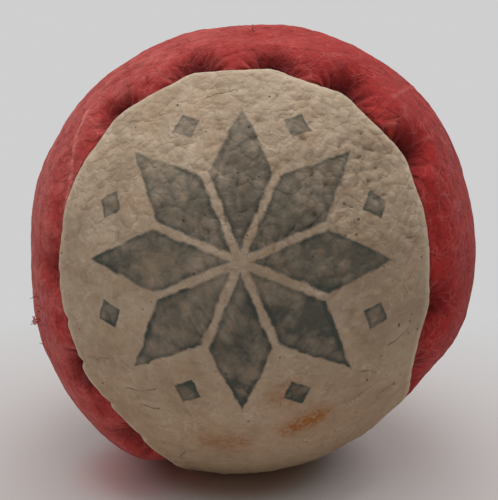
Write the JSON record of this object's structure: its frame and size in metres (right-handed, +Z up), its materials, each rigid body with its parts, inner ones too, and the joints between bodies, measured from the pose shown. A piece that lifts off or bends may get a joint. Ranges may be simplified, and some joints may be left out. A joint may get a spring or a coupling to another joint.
{
  "type": "footbag",
  "caption": "Round leather footbag of figure-eight panels sewn inside out and turned, filled with plastic pellets, for kicking and juggling.",
  "frame": {"origin": "middle of the flat spot that the bag rests on", "axes": "+Z up out of the floor, -Y towards the side where the cream lobe shows, +X to that side's right"},
  "size_m": [0.0521, 0.052, 0.0512],
  "materials": {
    "cream_leather": "worn undyed grained leather with a faded one-colour print",
    "red_leather": "red suede-like leather with a pale rubbed nap",
    "waxed_thread": "waxed twisted thread",
    "pellet_plastic": "natural polyethylene pellets"
  },
  "bodies": {
    "bag": {"cream_panel": "cream_leather", "red_panel": "red_leather", "seam_thread": "waxed_thread", "closing_thread": "waxed_thread", "pellet_fill": "pellet_plastic"},
    "loose_pellets": {"pellet_01": "pellet_plastic", "pellet_02": "pellet_plastic", "pellet_03": "pellet_plastic", "pellet_04": "pellet_plastic", "pellet_05": "pellet_plastic", "pellet_06": "pellet_plastic", "pellet_07": "pellet_plastic", "pellet_08": "pellet_plastic", "pellet_09": "pellet_plastic", "pellet_10": "pellet_plastic", "pellet_11": "pellet_plastic", "pellet_12": "pellet_plastic", "pellet_13": "pellet_plastic", "pellet_14": "pellet_plastic", "pellet_15": "pellet_plastic", "pellet_16": "pellet_plastic", "pellet_17": "pellet_plastic", "pellet_18": "pellet_plastic", "pellet_19": "pellet_plastic"}
  },
  "joints": [
    {"name": "loose_pellets_lift", "type": "slide", "parent": "bag", "child": "loose_pellets", "axis": [0, 0, 1], "range_m": [0, 0.002]}
  ]
}
